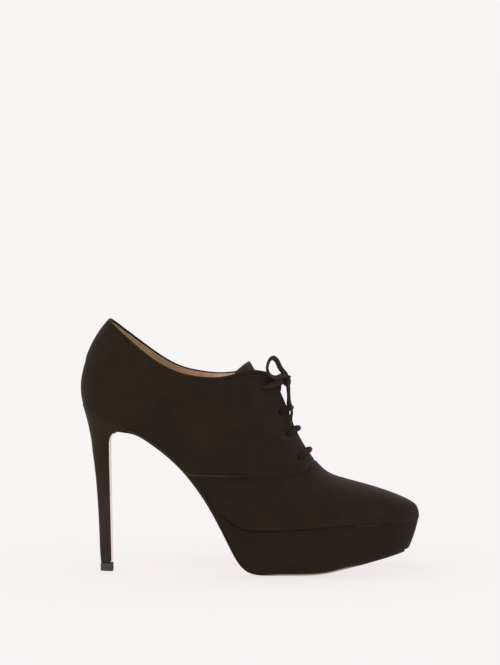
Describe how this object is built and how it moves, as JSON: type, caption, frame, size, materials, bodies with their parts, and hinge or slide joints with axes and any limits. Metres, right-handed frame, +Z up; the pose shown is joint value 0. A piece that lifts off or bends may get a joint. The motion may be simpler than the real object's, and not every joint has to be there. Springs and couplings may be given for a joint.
{
  "type": "lace-up platform stiletto shoe",
  "caption": "Dark suede lace-up platform shoe for the right foot, with a high covered stiletto heel, tan lining, pale leather sole and a thin round lace tied in a bow.",
  "frame": {"origin": "centre of the bounding box on the floor, without the tied bow", "axes": "+X to the toe, +Y to the inner (medial) side, +Z up from the floor"},
  "size_m": [0.2348, 0.0827, 0.1746],
  "materials": {
    "dark_suede": "napped suede, matt",
    "suede_cover": "napped suede drawn over platform and heel, matt",
    "tan_lining": "smooth lining leather",
    "pale_leather": "smooth sole leather, satin",
    "heel_rubber": "hard dark rubber",
    "lace_cord": "waxed round cord"
  },
  "bodies": {
    "root": {"upper": "dark_suede", "tongue": "dark_suede", "insole": "tan_lining", "platform": "suede_cover", "heel": "suede_cover", "outsole": "pale_leather", "top_piece": "heel_rubber", "lace_bar_1": "lace_cord", "lace_bar_2": "lace_cord", "lace_bar_3": "lace_cord", "lace_bar_4": "lace_cord", "lace_knot": "lace_cord", "lace_loop_lateral": "lace_cord", "lace_loop_medial": "lace_cord", "lace_end_lateral": "lace_cord", "lace_end_medial": "lace_cord"}
  },
  "joints": []
}
